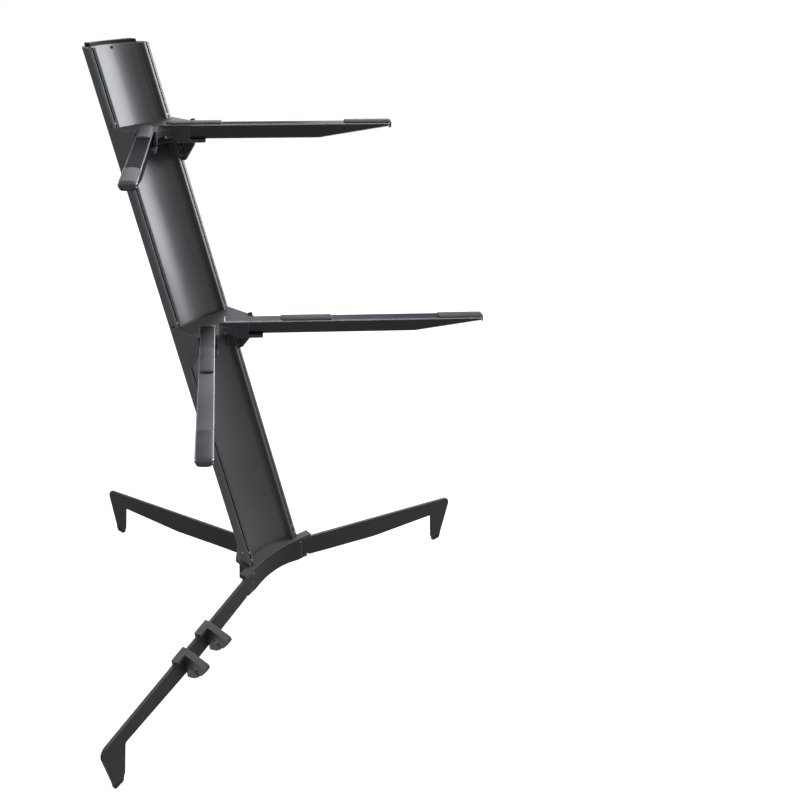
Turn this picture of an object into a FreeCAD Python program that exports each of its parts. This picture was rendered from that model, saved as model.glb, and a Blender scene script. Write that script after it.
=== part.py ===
import FreeCAD
import Part
import os
from math import atan, cos, degrees, radians, sin, sqrt, tan

# A two-tier keyboard stand: a leaning column on a three-legged base, with two sliding pairs of arms.
# Lengths are millimetres. While building, the front edge of the column's foot lies at x = y = 0 over
# the floor, -Y faces the player and +Z is up. The finished stand is centred over its own floor area.

# Fits
slide_gap = 0.3
screw_gap = 0.05
pin_gap = 0.05
overrun = 4.0

# Column
column_tilt = 22.3
column_foot_height = 181.0
column_rise = 932.0
column_width = 140.0
column_depth = 34.0
column_wall = 3.0
column_edge_radius = 1.0
rear_half_width = 57.0
rail_width = 14.0
rail_side_depth = 20.0
rail_wall = 2.5
rail_lip = 4.5
rail_front_fall = 2.4
rail_hollow_depth = 12.0
rail_slot_width = 3.4
trough_side_depth = 16.0
trough_depth = 25.0

# Top cap and its screw
cap_thickness = 6.0
cap_half_width = 54.0
cap_corner_radius = 3.0
cap_tongue_length = 22.0
cap_screw_drop = 6.5
cap_screw_radius = 1.6
cap_screw_head_radius = 2.5
cap_screw_head_height = 1.6

# Base hub
hub_bottom_height = 130.0
hub_deck_thickness = 5.5
hub_wall = 6.0
hub_bow_radius = 300.0
hub_side_half_width = 60.0
hub_rear_depth = 42.0
hub_arch_rise = 6.0
hub_arch_half_width = 62.0
hub_lug_thickness = 5.5
hub_lug_radius = 8.0
hub_lug_reach = 12.0
rear_socket_reach = 92.0

# Legs
leg_angle = 80.0
leg_thickness = 6.0
leg_edge_radius = 1.0
leg_heel = 12.0
leg_root_height = 175.0
leg_reach = 438.0
leg_barrel_radius = 8.0
leg_pin_radius = 4.0
leg_pin_half_spread = 86.0
leg_pin_forward = 2.0
rear_leg_root = 92.0
rear_tongue_length = 62.0
# Places along the leg as shares of its reach, heights as shares of its root height
leg_top_share = (1.0, 0.5795)
leg_toe_shares = ((0.9457, 0.0743), (0.879, 0.0743))
leg_under_shares = ((0.8625, 0.435), (0.445, 0.5486), (0.137, 0.691))
leg_knee_radius = 16.0
leg_corner_radius = 4.5
leg_root_under_share = 0.7486
rear_tongue_under_share = 0.785
rear_bolt_radius = 3.0
rear_bolt_head_radius = 5.5
rear_bolt_head_height = 4.0
rear_bolt_shares = (0.35, 0.8)

# Rubber foot tips
tip_inset = 2.5
tip_corner_radius = 3.0
tip_peg_radius = 1.6
tip_peg_length = 12.0
# Ends of a tip's floor line as shares of the leg's reach
tip_floor_shares = (0.9395, 0.8925)

# Screws at the column's foot
tongue_length = 62.0
foot_screw_radius = 1.5
foot_screw_head_radius = 2.3
foot_screw_head_height = 1.4
foot_screw_heights = (13.0, 29.0)
side_screw_height = 32.0
set_screw_radius = 1.6
set_screw_length = 8.0
set_screw_drop = 9.0

# Storage clips on the left leg
clip_stations = (133.0, 202.0)
clip_saddle_length = 34.0
clip_hook_thickness = 13.0
clip_wall = 4.0
clip_crown = 6.0
clip_flank_depth = 20.0
clip_tab = 5.0
clip_tab_length = 8.0
clip_reach = 47.0
clip_drop = 57.0
# Outline of the hook: forward as shares of its reach, down as shares of its drop
clip_hook_shares = ((0.95, 0.29), (1.0, 0.42), (0.7, 0.76), (0.34, 1.02))
clip_hook_radii = (1.5, 2.0, 3.0, 3.0)
clip_pocket_radius = 8.5
clip_pocket_share = (0.42, 0.49)
clip_mouth_width = 7.0
clip_mouth_angle = 48.0

# Arms, measured from the root along the bar
arm_spread = 45.0
arm_width = 28.5
arm_under_width = 20.5
arm_under_radius = 2.5
arm_height = 26.5
arm_tip_height = 6.0
arm_taper_length = 130.0
arm_edge_radius = 1.2
arm_tip_radius = 4.0
arm_root_half_spread = 22.0
arm_root_forward = 34.0

# Tiers: height of the arm tops over the floor, arm length and start of the inner pad
tiers = {
    "lower": {"height": 633.0, "arm_length": 492.0, "inner_pad_start": 107.0},
    "upper": {"height": 981.0, "arm_length": 413.0, "inner_pad_start": 6.0},
}

# Pads
pad_width = 24.0
pad_side = 3.0
pad_crown = 1.6
pad_end_radius = 3.0
inner_pad_length = 98.0
outer_pad_length = 84.0
pad_lip = 4.0
pad_lip_drop = 10.0

# Bracket casting
cheek_thickness = 4.0
cheek_reach = 61.0
cheek_drop = 78.0
cheek_rear = 13.6
# Outline of the cheek: forward as shares of its reach, down as shares of its drop
cheek_shares = ((1.0, 0.0), (0.92, 0.56), (0.52, 0.96), (0.42, 1.0))
cheek_corner_radius = 3.0
cheek_lug_length = 9.0
cheek_lug_height = 6.0
socket_wall = 4.0
socket_floor = 5.0
socket_length = 73.0
socket_inner_length = 45.0
socket_wall_drop = 4.0
socket_corner_radius = 4.0
skin_thickness = 4.0
web_radius = 24.0
web_slope = 35.0
web_arch_rise = 13.0
web_arch_half_width = 30.0
crossbar_thickness = 7.0
crossbar_drop = 74.0
crossbar_beam = 44.0
crossbar_leg_width = 19.0
crossbar_corner_radius = 8.0

# Tier screws and slide nuts
arm_screw_radius = 2.5
arm_screw_head_radius = 4.5
arm_screw_head_height = 3.0
arm_screw_depth = 12.0
arm_screw_shares = (0.3, 0.75)
clamp_screw_radius = 1.5
clamp_screw_head_radius = 3.2
clamp_screw_head_height = 3.0
clamp_screw_drop = 58.0
grub_screw_rise = 8.0
slide_nut_thickness = 5.0
slide_nut_length = 92.0
slide_nut_rise = 16.0

# Values that follow from the sizes above
half_width = column_width / 2
rail_inner = half_width - rail_width
rail_middle = half_width - rail_width / 2
column_top_height = column_foot_height + column_rise
column_length = column_rise / cos(radians(column_tilt))
trough_sag = trough_depth - trough_side_depth
trough_radius = (rail_inner ** 2 + trough_sag ** 2) / (2 * trough_sag)
hub_deck_under = column_foot_height - hub_deck_thickness
leg_turn = 90.0 - leg_angle
leg_top_run = leg_reach * leg_top_share[0] - leg_barrel_radius
leg_slope = degrees(atan(leg_root_height * (1 - leg_top_share[1]) / leg_top_run))
socket_half = arm_width / 2 + slide_gap + socket_wall
cheek_inner = half_width + slide_gap
cheek_outer = cheek_inner + cheek_thickness
pad_height = pad_side + pad_crown
stand_size = column_top_height


def vec(x, y, z=0.0):
    return FreeCAD.Vector(x, y, z)


def closed_wire(*steps):
    """Lines from point to point; a step of two points is an arc through the first to the second."""
    edges = []
    here = steps[0]
    for step in steps[1:] + steps[:1]:
        if isinstance(step[0], tuple):
            middle, end = step
            edges.append(Part.Arc(vec(*here), vec(*middle), vec(*end)).toShape())
        else:
            end = step
            edges.append(Part.makeLine(vec(*here), vec(*end)))
        here = end
    return Part.Wire(edges)


def rounded_wire(points, radii):
    """A closed outline whose corners are tangent arcs; a radius of zero leaves a sharp corner."""
    corners = [vec(*point) for point in points]
    edges = []
    ends = []
    for index, corner in enumerate(corners):
        before = (corners[index - 1] - corner).normalize()
        after = (corners[(index + 1) % len(corners)] - corner).normalize()
        half = before.getAngle(after) / 2
        reach = radii[index] / tan(half)
        inward = (before + after).normalize()
        middle = corner + inward * (radii[index] / sin(half) - radii[index])
        ends.append((corner + before * reach, middle, corner + after * reach))
    for index, (start, middle, end) in enumerate(ends):
        if radii[index] > 0:
            edges.append(Part.Arc(start, middle, end).toShape())
        edges.append(Part.makeLine(end, ends[(index + 1) % len(ends)][0]))
    return Part.Wire(edges)


def prism(wire, height, base=0.0):
    """The outline in the XY plane, raised from base by height."""
    return Part.Face(wire).extrude(vec(0, 0, height)).translated(vec(0, 0, base))


def block(low, high):
    size = vec(*high) - vec(*low)
    return Part.makeBox(size.x, size.y, size.z, vec(*low))


def upright(shape):
    """Turns an outline's second axis up; its thickness then runs towards -Y."""
    return shape.rotated(vec(0, 0), vec(1, 0), 90)


def sideways(shape):
    """Turns an outline drawn in (y, z) upright, with its thickness towards +X."""
    return shape.rotated(vec(0, 0), vec(1, 1, 1), 120)


def tilted(shape):
    """Leans a shape back with the column, about the X axis."""
    return shape.rotated(vec(0, 0), vec(1, 0), -column_tilt)


def on_column(shape):
    """From the column's own axes (across, depth behind its front, along) to the stand."""
    return tilted(shape).translated(vec(0, 0, column_foot_height))


def mirrored(shape):
    return shape.mirror(vec(0, 0), vec(1, 0))


def pair(shape):
    return [shape, mirrored(shape)]


def fuse(shapes):
    return shapes[0].multiFuse(shapes[1:]).removeSplitter()


def group(shapes):
    return Part.makeCompound(shapes)


def fillet_where(shape, radius, wanted):
    """Rounds the edges for which wanted(edge) holds."""
    return shape.makeFillet(radius, [edge for edge in shape.Edges if wanted(edge)])


def runs_along(edge, direction):
    """True for a straight edge along a direction."""
    start, end = edge.firstVertex().Point, edge.lastVertex().Point
    length = (end - start).Length
    return length > 0 and abs((end - start).dot(direction)) > length * sin(radians(89))


def screw(radius, length, head_radius, head_height, place, direction):
    """A round-headed screw: its head's underside lies at place and its shank runs along direction."""
    shank = Part.makeCylinder(radius, length, place, direction)
    head = Part.makeCylinder(head_radius, head_height, place, direction * -1)
    rim = [edge for edge in head.Edges if edge.Closed and edge.CenterOfMass.isEqual(
        place - direction * head_height, head_height / 2)]
    return shank.fuse(head.makeFillet(head_height / 2, rim)).removeSplitter()


def hole(radius, length, place, direction):
    """A clearance hole that starts an overrun before its place."""
    start = place - direction * overrun
    return Part.makeCylinder(radius + screw_gap, length + 2 * overrun, start, direction)


def trough_at(across):
    """Depth of the trough's surface at a distance from the middle of the column."""
    return trough_depth - trough_radius + sqrt(trough_radius ** 2 - across ** 2)


# Column

def column_chamber(gap, length, base):
    """The flat room between the trough and the back of the column, less a gap all round."""
    side = rail_inner - column_wall - gap
    front = column_wall + gap
    back = column_depth - column_wall - gap
    return prism(closed_wire(
        (-side, trough_at(side) + front), ((0, trough_depth + front), (side, trough_at(side) + front)),
        (side, back), (-side, back)), length, base)


def rail_bar(gap, depth, length, base):
    """A bar that fills the front of the right rail's hollow down to a depth, less a gap all round."""
    half = rail_width / 2 - rail_wall - gap
    return block((rail_middle - half, rail_lip + gap, base),
                 (rail_middle + half, rail_lip + depth - gap, base + length))


def rail_front_at(across):
    """Depth of a rail's front, which falls back towards its outer edge."""
    return rail_front_fall * (across - rail_inner) / rail_width


def column_blank():
    """The outer form of the extrusion, longer than the column at both ends."""
    spare = column_depth
    base = prism(closed_wire(
        (-half_width, rail_front_fall), (-rail_inner, 0), (-rail_inner, trough_side_depth),
        ((0, trough_depth), (rail_inner, trough_side_depth)), (rail_inner, 0), (half_width, rail_front_fall),
        (half_width, rail_side_depth), (rear_half_width, column_depth),
        (-rear_half_width, column_depth), (-half_width, rail_side_depth)),
        column_length + 2 * spare, -spare)
    base = fillet_where(base, column_edge_radius,
                        lambda edge: runs_along(edge, vec(0, 0, 1)) and edge.CenterOfMass.y < column_wall)
    slot = block((rail_middle - rail_slot_width / 2, -overrun, -spare),
                 (rail_middle + rail_slot_width / 2, rail_lip + overrun, column_length + spare))
    hollow = rail_bar(0, rail_hollow_depth, column_length + 2 * spare, -spare)
    base = base.cut(column_chamber(0, column_length + 2 * spare, -spare))
    for cutter in pair(hollow) + pair(slot):
        base = base.cut(cutter)
    return base


def foot_screw_places():
    """Where the screws enter the right rail: two in its front, one in its side."""
    front = rail_front_at(rail_middle - foot_screw_head_radius)
    places = [(vec(rail_middle, front, height), vec(0, 1)) for height in foot_screw_heights]
    side = vec(half_width, rail_lip + rail_hollow_depth / 2, side_screw_height)
    return places + [(side, vec(-1, 0))]


def foot_screws():
    """Short screws whose heads lie on the rail and whose shanks end in the tongue."""
    made = [screw(foot_screw_radius, rail_width / 2, foot_screw_head_radius, foot_screw_head_height, place, way)
            for place, way in foot_screw_places()]
    return [on_column(item) for item in made] + [mirrored(on_column(item)) for item in made]


def foot_screw_holes(shape):
    """Cuts the holes of the foot screws on both sides."""
    for place, way in foot_screw_places():
        cutter = on_column(hole(foot_screw_radius, rail_width / 2, place, way))
        shape = shape.cut(cutter).cut(mirrored(cutter))
    return shape


def cap_screw_place():
    """On the trough's middle, a short way below its level top edge."""
    top = column_length + trough_depth * tan(radians(column_tilt))
    return vec(0, trough_at(cap_screw_head_radius), top - cap_screw_drop)


def level_slab(low, high):
    """Everything between two heights."""
    return block((-stand_size, -stand_size, low), (stand_size, stand_size, high))


def make_column():
    blank = on_column(column_blank()).common(level_slab(column_foot_height, column_top_height))
    blank = foot_screw_holes(blank)
    return blank.cut(on_column(hole(cap_screw_radius, column_wall, cap_screw_place(), vec(0, 1))))


def make_cap():
    """A lid over the back of the column, cut along the trough, with a tongue in the chamber."""
    side = trough_at(cap_half_width)
    rear_half = cap_half_width - cap_corner_radius
    rear = column_depth - cap_corner_radius
    lid = prism(closed_wire(
        (-cap_half_width, side), ((0, trough_depth), (cap_half_width, side)), (cap_half_width, rear),
        (rear_half, column_depth), (-rear_half, column_depth), (-cap_half_width, rear)),
        2 * column_depth, column_length - column_depth)
    lid = on_column(lid).common(level_slab(column_top_height, column_top_height + cap_thickness))
    lid = fillet_where(lid, cap_corner_radius / 2, lambda edge: edge.CenterOfMass.z >
                       column_top_height + cap_thickness - screw_gap)
    tongue = on_column(column_chamber(screw_gap, 2 * cap_tongue_length, column_length - cap_tongue_length))
    tongue = tongue.common(level_slab(column_foot_height, column_top_height + cap_thickness / 2))
    cutter = on_column(hole(cap_screw_radius, column_wall * 2, cap_screw_place(), vec(0, 1)))
    return fuse([lid, tongue]).cut(cutter)


def make_cap_screw():
    shank = column_depth - column_wall - trough_depth
    return on_column(screw(cap_screw_radius, shank, cap_screw_head_radius, cap_screw_head_height,
                           cap_screw_place(), vec(0, 1)))


def make_rail_tongues():
    """Bars that stand on the hub inside the two rails."""
    bar = rail_bar(screw_gap, rail_hollow_depth, tongue_length + column_depth, -column_depth)
    top = column_foot_height + tongue_length
    bar = on_column(bar).common(level_slab(column_foot_height, top))
    return foot_screw_holes(group(pair(bar)))


# Legs, drawn with the hinge pin at the origin, q outwards along the leg

def leg_point(shares):
    return (leg_reach * shares[0], leg_root_height * shares[1])


def leg_blade(root_points, root_radii):
    """The flat bar with its turned-down foot, standing on edge in the plane of the leg."""
    outer = [leg_point(leg_top_share)] + [leg_point(shares) for shares in leg_toe_shares]
    under = [leg_point(shares) for shares in leg_under_shares]
    radii = [leg_knee_radius, 0, 0, leg_corner_radius, leg_reach / 2, leg_reach / 2] + list(root_radii)
    blade = upright(prism(rounded_wire(outer + under + list(root_points), radii), leg_thickness))
    toe = outer[1][1] + leg_edge_radius
    faces = [edge for edge in blade.Edges if edge.CenterOfMass.z > toe
             and abs(edge.firstVertex().Point.y - edge.lastVertex().Point.y) < leg_thickness / 2]
    return blade.makeFillet(leg_edge_radius, faces).cut(tip_peg(screw_gap))


def front_blade():
    """The front leg's bar: its front face is flush with the front of the hinge barrel."""
    low, _ = barrel_span()
    clear = hub_lug_radius + 2 * slide_gap
    roots = ((clear, leg_root_height * leg_root_under_share), (clear, low), (-leg_heel, low),
             (-leg_heel, leg_root_height), (leg_barrel_radius, leg_root_height))
    return at_front_blade(leg_blade(roots, (0, 0, 0, 0, 0)))


def rear_blade():
    """The rear leg's bar, with a tongue that runs into the hub's socket."""
    under = leg_root_height * rear_tongue_under_share
    roots = ((0, leg_root_height * leg_root_under_share), (-rear_tongue_length, under),
             (-rear_tongue_length, leg_root_height), (leg_barrel_radius, leg_root_height))
    return at_rear_blade(leg_blade(roots, (leg_reach / 8, leg_corner_radius, leg_corner_radius, 0)))


def at_front_blade(shape):
    """Sets a front leg's pieces so their front is flush with the front of the hinge barrel."""
    return shape.translated(vec(0, leg_thickness - leg_barrel_radius, 0))


def at_rear_blade(shape):
    return shape.translated(vec(0, leg_thickness / 2, 0))


def tip_peg(gap):
    """The peg that holds a rubber tip in the end of a blade."""
    outer, inner = leg_point(leg_toe_shares[0]), leg_point(leg_toe_shares[1])
    foot = vec((outer[0] + inner[0]) / 2, -leg_thickness / 2, outer[1] - tip_inset)
    return Part.makeCylinder(tip_peg_radius + gap, tip_peg_length + tip_inset, foot)


def foot_tip():
    """A rubber tip as thick as the blade, rounded to a short flat on the floor, with its peg."""
    outer, inner = leg_point(leg_toe_shares[0]), leg_point(leg_toe_shares[1])
    points = (outer, (inner[0] + tip_inset, inner[1])) + tuple(
        (leg_reach * share, 0) for share in reversed(tip_floor_shares))
    radii = (0, 0, tip_corner_radius, tip_corner_radius)
    return fuse([upright(prism(rounded_wire(points, radii), leg_thickness)), tip_peg(0)])


def barrel_span():
    """Lower and upper end of a leg's hinge barrel, between the hub's lugs."""
    return hub_bottom_height + hub_lug_thickness + slide_gap, hub_deck_under - slide_gap


def make_front_leg():
    low, high = barrel_span()
    barrel = Part.makeCylinder(leg_barrel_radius, high - low, vec(0, 0, low))
    bore = Part.makeCylinder(leg_pin_radius + pin_gap, high - low + 2 * overrun, vec(0, 0, low - overrun))
    return fuse([front_blade(), barrel]).cut(bore)


def at_right_leg(shape):
    """From the leg's own axes to the right leg's place on the hub."""
    return shape.rotated(vec(0, 0), vec(0, 0, 1), -leg_turn).translated(
        vec(leg_pin_half_spread, -leg_pin_forward, 0))


def at_rear_leg(shape):
    return shape.rotated(vec(0, 0), vec(0, 0, 1), 90).translated(vec(0, rear_leg_root, 0))


def make_hinge_pins():
    length = column_foot_height - hub_bottom_height
    return group(pair(at_right_leg(Part.makeCylinder(leg_pin_radius, length, vec(0, 0, hub_bottom_height)))))


# Base hub

def leg_line(along, behind):
    """A plan point of the right leg: along it from the pin, and behind its front face."""
    turn = radians(leg_turn)
    side = behind - leg_barrel_radius
    return (leg_pin_half_spread + along * cos(turn) + side * sin(turn),
            -leg_pin_forward - along * sin(turn) + side * cos(turn))


def bowed_band(reach, depth, radius):
    """The front wall in plan: two straight halves in line with the legs, joined by a long bow."""
    front, rear = leg_line(reach, 0), leg_line(reach, depth)
    slope = tan(radians(leg_turn))
    front_apex = (0, front[1] + front[0] * slope)
    rear_apex = (0, rear[1] + rear[0] * slope)
    points = (front, front_apex, (-front[0], front[1]), (-rear[0], rear[1]), rear_apex, rear)
    return rounded_wire(points, (0, radius, 0, 0, radius - depth, 0))


def hub_deck_wire():
    """The deck in plan: the bowed front, the wings and a tail over the rear socket."""
    front, rear = leg_line(-leg_heel - slide_gap, 0), leg_line(-leg_heel, 2 * leg_barrel_radius)
    slope = tan(radians(leg_turn))
    apex = (0, front[1] + front[0] * slope)
    tail = leg_thickness / 2 + hub_wall + slide_gap
    half = [rear, (half_width, hub_rear_depth), (tail, rear_socket_reach)]
    points = [(-front[0], front[1]), apex, front] + half + [(-x, y) for x, y in reversed(half)]
    radii = [0, hub_bow_radius, 0] + [0, hub_wall, hub_wall / 2, hub_wall / 2, hub_wall, 0]
    return rounded_wire(points, radii)


def hub_strap(reach, thickness, base):
    """A flat ear on the wing's end, as wide as the hinge barrel, out to a reach beyond the right pin."""
    root = -leg_heel - hub_wall
    return prism(closed_wire(leg_line(root, 0), leg_line(reach, 0), leg_line(reach, 2 * leg_barrel_radius),
                             leg_line(root, 2 * leg_barrel_radius)), thickness, base)


def lower_lug():
    """The round ear under the right hinge barrel."""
    eye = Part.makeCylinder(hub_lug_radius, hub_lug_thickness, vec(0, 0, hub_bottom_height))
    return at_right_leg(eye).fuse(hub_strap(0, hub_lug_thickness, hub_bottom_height))


def hub_wing():
    """The solid end of the hub beside the right hinge barrel; the leg's heel stops on its step."""
    step = leg_thickness + slide_gap
    end = -leg_barrel_radius - 2 * slide_gap
    stop = -leg_heel - slide_gap
    root = (hub_side_half_width - leg_pin_half_spread) / cos(radians(leg_turn)) - hub_wall
    height = column_foot_height - hub_bottom_height
    return prism(closed_wire(
        leg_line(root, 0), leg_line(stop, 0), leg_line(stop, step), leg_line(end, step),
        leg_line(end, 2 * leg_barrel_radius), leg_line(root, 2 * leg_barrel_radius)),
        height, hub_bottom_height)


def rear_rib():
    """One of the two ribs that hold the rear leg's tongue, deeper at the hub than at its end."""
    side = leg_thickness / 2 + slide_gap / 2
    low = hub_bottom_height + hub_arch_rise
    rib = prism(rounded_wire(((0, low), (rear_socket_reach, low + hub_wall),
                              (rear_socket_reach, column_foot_height), (0, column_foot_height)),
                             (0, hub_wall, 0, 0)), hub_wall)
    return sideways(rib).translated(vec(side, hub_wall, 0)).common(level_slab(0, column_foot_height))


def rear_bolt_places():
    height = leg_root_height * (1 + rear_tongue_under_share) / 2
    start = rear_leg_root - rear_tongue_length
    return [vec(0, start + (rear_socket_reach - start) * share, height) for share in rear_bolt_shares]


def make_rear_bolts():
    """Bolts across the socket with a nut on the far side."""
    half = leg_thickness / 2 + slide_gap / 2 + hub_wall
    made = []
    for place in rear_bolt_places():
        start = place - vec(half, 0)
        bolt = screw(rear_bolt_radius, 2 * half + rear_bolt_head_height, rear_bolt_head_radius,
                     rear_bolt_head_height, start, vec(1, 0))
        nut_wire = Part.makePolygon([vec(rear_bolt_head_radius * cos(radians(60 * turn)),
                                         rear_bolt_head_radius * sin(radians(60 * turn)))
                                     for turn in range(7)])
        nut = sideways(prism(nut_wire, rear_bolt_head_height)).translated(place + vec(half, 0))
        nut = nut.cut(hole(rear_bolt_radius, rear_bolt_head_height, place + vec(half, 0), vec(1, 0)))
        made += [bolt, nut]
    return made


def rear_bolt_holes(shape):
    half = leg_thickness / 2 + slide_gap / 2 + hub_wall
    for place in rear_bolt_places():
        shape = shape.cut(hole(rear_bolt_radius, 2 * half, place - vec(half, 0), vec(1, 0)))
    return shape


def set_screw_place():
    """The right set screw enters the front of the wing and points at the hinge pin's lug."""
    along = -leg_heel - slide_gap - 2 * set_screw_radius
    x, y = leg_line(along, 0)
    return vec(x, y, column_foot_height - set_screw_drop)


def make_set_screws():
    made = Part.makeCylinder(set_screw_radius, set_screw_length, set_screw_place(), vec(0, 1))
    return group(pair(made))


def make_hub():
    height = column_foot_height - hub_bottom_height
    deck = prism(hub_deck_wire(), hub_deck_thickness, hub_deck_under)
    front = prism(bowed_band(-leg_heel - slide_gap, hub_wall, hub_bow_radius), height, hub_bottom_height)
    side = block((hub_side_half_width - hub_wall, 0, hub_bottom_height),
                 (hub_side_half_width, hub_rear_depth, column_foot_height))
    back = block((-hub_side_half_width, hub_rear_depth - hub_wall, hub_bottom_height),
                 (hub_side_half_width, hub_rear_depth, column_foot_height))
    lugs = [hub_strap(hub_lug_reach, hub_deck_thickness, hub_deck_under), lower_lug()]
    right = [side, hub_wing(), rear_rib()] + lugs
    body = fuse([deck, front, back] + right + [mirrored(piece) for piece in right])
    low = hub_bottom_height - overrun
    arch = upright(prism(closed_wire(
        (-hub_arch_half_width, low), (-hub_arch_half_width, hub_bottom_height),
        ((0, hub_bottom_height + hub_arch_rise), (hub_arch_half_width, hub_bottom_height)),
        (hub_arch_half_width, low)), 2 * stand_size)).translated(vec(0, stand_size, 0))
    gap = leg_thickness / 2 + slide_gap / 2
    slot = block((-gap, rear_leg_root - rear_tongue_length - slide_gap, 0),
                 (gap, stand_size, hub_deck_under))
    body = body.cut(arch).cut(slot)
    pin = at_right_leg(hole(leg_pin_radius, height, vec(0, 0, hub_bottom_height), vec(0, 0, 1)))
    grub = Part.makeCylinder(set_screw_radius + screw_gap, set_screw_length + overrun,
                             set_screw_place() - vec(0, overrun), vec(0, 1))
    for cutter in pair(pin) + pair(grub):
        body = body.cut(cutter)
    return rear_bolt_holes(body)


# Storage clips, drawn in the leg's own axes

def clip_profile(length, points, radii):
    """An outline in (forward of the leg's front face, up from its top edge), carried along the leg."""
    shape = sideways(prism(rounded_wire([(-forward, up) for forward, up in points], radii), length))
    return shape.translated(vec(0, -leg_barrel_radius, 0))


def clip_saddle():
    """The inverted U over the bar's top edge, with a short tab at the foot of its rear flank."""
    rear = leg_thickness + slide_gap
    points = ((slide_gap + clip_wall, slide_gap), (slide_gap + clip_wall, clip_crown),
              (-rear - clip_wall, clip_crown), (-rear - clip_wall, -clip_flank_depth),
              (-rear, -clip_flank_depth), (-rear, slide_gap))
    saddle = clip_profile(clip_saddle_length, points, (0, clip_wall / 2, clip_wall / 2, 0, 0, 0))
    tab = ((-rear, -clip_flank_depth), (-rear - clip_wall, -clip_flank_depth),
           (-rear - clip_wall - clip_tab, -clip_flank_depth + clip_tab),
           (-rear - clip_wall, -clip_flank_depth + 2 * clip_tab), (-rear, -clip_flank_depth + 2 * clip_tab))
    return saddle.fuse(clip_profile(clip_tab_length, tab, (0, 0, clip_tab / 3, 0, 0)))


def clip_hook():
    """The thick hook plate before the bar, with a round pocket and a narrow mouth below it."""
    front = slide_gap
    shaped = [(clip_reach * shares[0], clip_crown - clip_drop * shares[1]) for shares in clip_hook_shares]
    points = [(front, clip_crown)] + shaped + [(front, -clip_drop)]
    plate = clip_profile(clip_hook_thickness, points, (0,) + clip_hook_radii + (0,))
    across, up = clip_reach * clip_pocket_share[0], -clip_drop * clip_pocket_share[1]
    middle = vec(-overrun, -leg_barrel_radius - across, up)
    depth = clip_hook_thickness + 2 * overrun
    pocket = Part.makeCylinder(clip_pocket_radius, depth, middle, vec(1, 0))
    mouth = block((-overrun, -clip_reach, -clip_mouth_width / 2),
                  (clip_hook_thickness + overrun, 0, clip_mouth_width / 2))
    mouth = mouth.rotated(vec(0, 0), vec(1, 0), clip_mouth_angle)
    mouth = mouth.translated(vec(0, middle.y, middle.z))
    return plate.cut(pocket.fuse(mouth))


def make_clip(station):
    """A clip on the right leg's sloping top edge, with its hook plate on the side of the hub."""
    clip = fuse([clip_saddle(), clip_hook()])
    clip = clip.rotated(vec(0, 0), vec(0, 1), leg_slope)
    edge = leg_root_height - (station - leg_barrel_radius) * tan(radians(leg_slope))
    return clip.translated(vec(station, 0, edge))


# Tiers, drawn with the column's front face and the arm tops at the origin

def arm_point(along, aside):
    """A plan point of the right arm: along it from its root, aside from its middle to the outside."""
    turn = radians(arm_spread)
    return (arm_root_half_spread + along * sin(turn) + aside * cos(turn),
            -arm_root_forward - along * cos(turn) + aside * sin(turn))


def at_right_arm(shape):
    """From the arm's own axes (along, to the left, up) to its place on the tier."""
    x, y = arm_point(0, 0)
    return shape.rotated(vec(0, 0), vec(0, 0, 1), arm_spread - 90).translated(vec(x, y))


def along_arm(wire, width):
    """A side outline (along, up) carried across the arm's middle."""
    return upright(prism(wire, width)).translated(vec(0, width / 2, 0))


def arm_screw_places():
    floor = -arm_height - slide_gap - socket_floor
    return [vec(socket_length * share, 0, floor) for share in arm_screw_shares]


def arm_screw_holes(shape):
    """Cuts the holes of the arm screws, in the arm's own axes."""
    for place in arm_screw_places():
        depth = socket_floor + slide_gap + arm_screw_depth
        start = place - vec(0, 0, overrun)
        shape = shape.cut(Part.makeCylinder(arm_screw_radius + screw_gap, depth + overrun, start))
    return shape


def make_arm_screws():
    shank = socket_floor + slide_gap + arm_screw_depth - screw_gap
    made = [at_right_arm(screw(arm_screw_radius, shank, arm_screw_head_radius, arm_screw_head_height,
                               place, vec(0, 0, 1))) for place in arm_screw_places()]
    return group(made + [mirrored(item) for item in made])


def make_arm(length):
    """A flat-topped bar, narrower below, whose underside rises to a thin tip."""
    side = along_arm(rounded_wire(
        ((0, 0), (0, -arm_height), (length - arm_taper_length, -arm_height), (length, -arm_tip_height),
         (length, 0)), (0, 0, arm_taper_length / 3, arm_edge_radius, 0)), arm_width)
    half = arm_width / 2
    plan = prism(rounded_wire(((0, -half), (length, -half), (length, half), (0, half)),
                              (0, arm_tip_radius, arm_tip_radius, 0)), arm_height, -arm_height)
    under = arm_under_width / 2
    section = rounded_wire(((half, 0), (-half, 0), (-under, -arm_height), (under, -arm_height)),
                           (0, 0, arm_under_radius, arm_under_radius))
    bar = side.common(plan).common(sideways(prism(section, length)))
    bar = fillet_where(bar, arm_edge_radius, lambda edge: runs_along(edge, vec(1, 0))
                       and edge.CenterOfMass.z > -arm_edge_radius)
    return at_right_arm(arm_screw_holes(bar))


def make_pad(start, length, lip):
    """A crowned rubber strip with rolled ends; with a lip it also rolls down over the arm's tip."""
    half = pad_width / 2
    end = start + length
    section = prism(closed_wire(
        (-half, -pad_lip_drop), (half, -pad_lip_drop), (half, pad_side), ((0, pad_height), (-half, pad_side))),
        length + pad_lip, start)
    section = section.rotated(vec(0, 0), vec(1, 1, 1), 120)
    if lip:
        points = ((start, 0), (end, 0), (end, -pad_lip_drop), (end + pad_lip, -pad_lip_drop),
                  (end + pad_lip, pad_height), (start, pad_height))
        radii = (0, 0, 0, pad_lip / 2, pad_end_radius, pad_end_radius)
    else:
        points = ((start, 0), (end, 0), (end, pad_height), (start, pad_height))
        radii = (0, 0, pad_end_radius, pad_end_radius)
    return at_right_arm(along_arm(rounded_wire(points, radii), arm_width).common(section))


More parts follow.
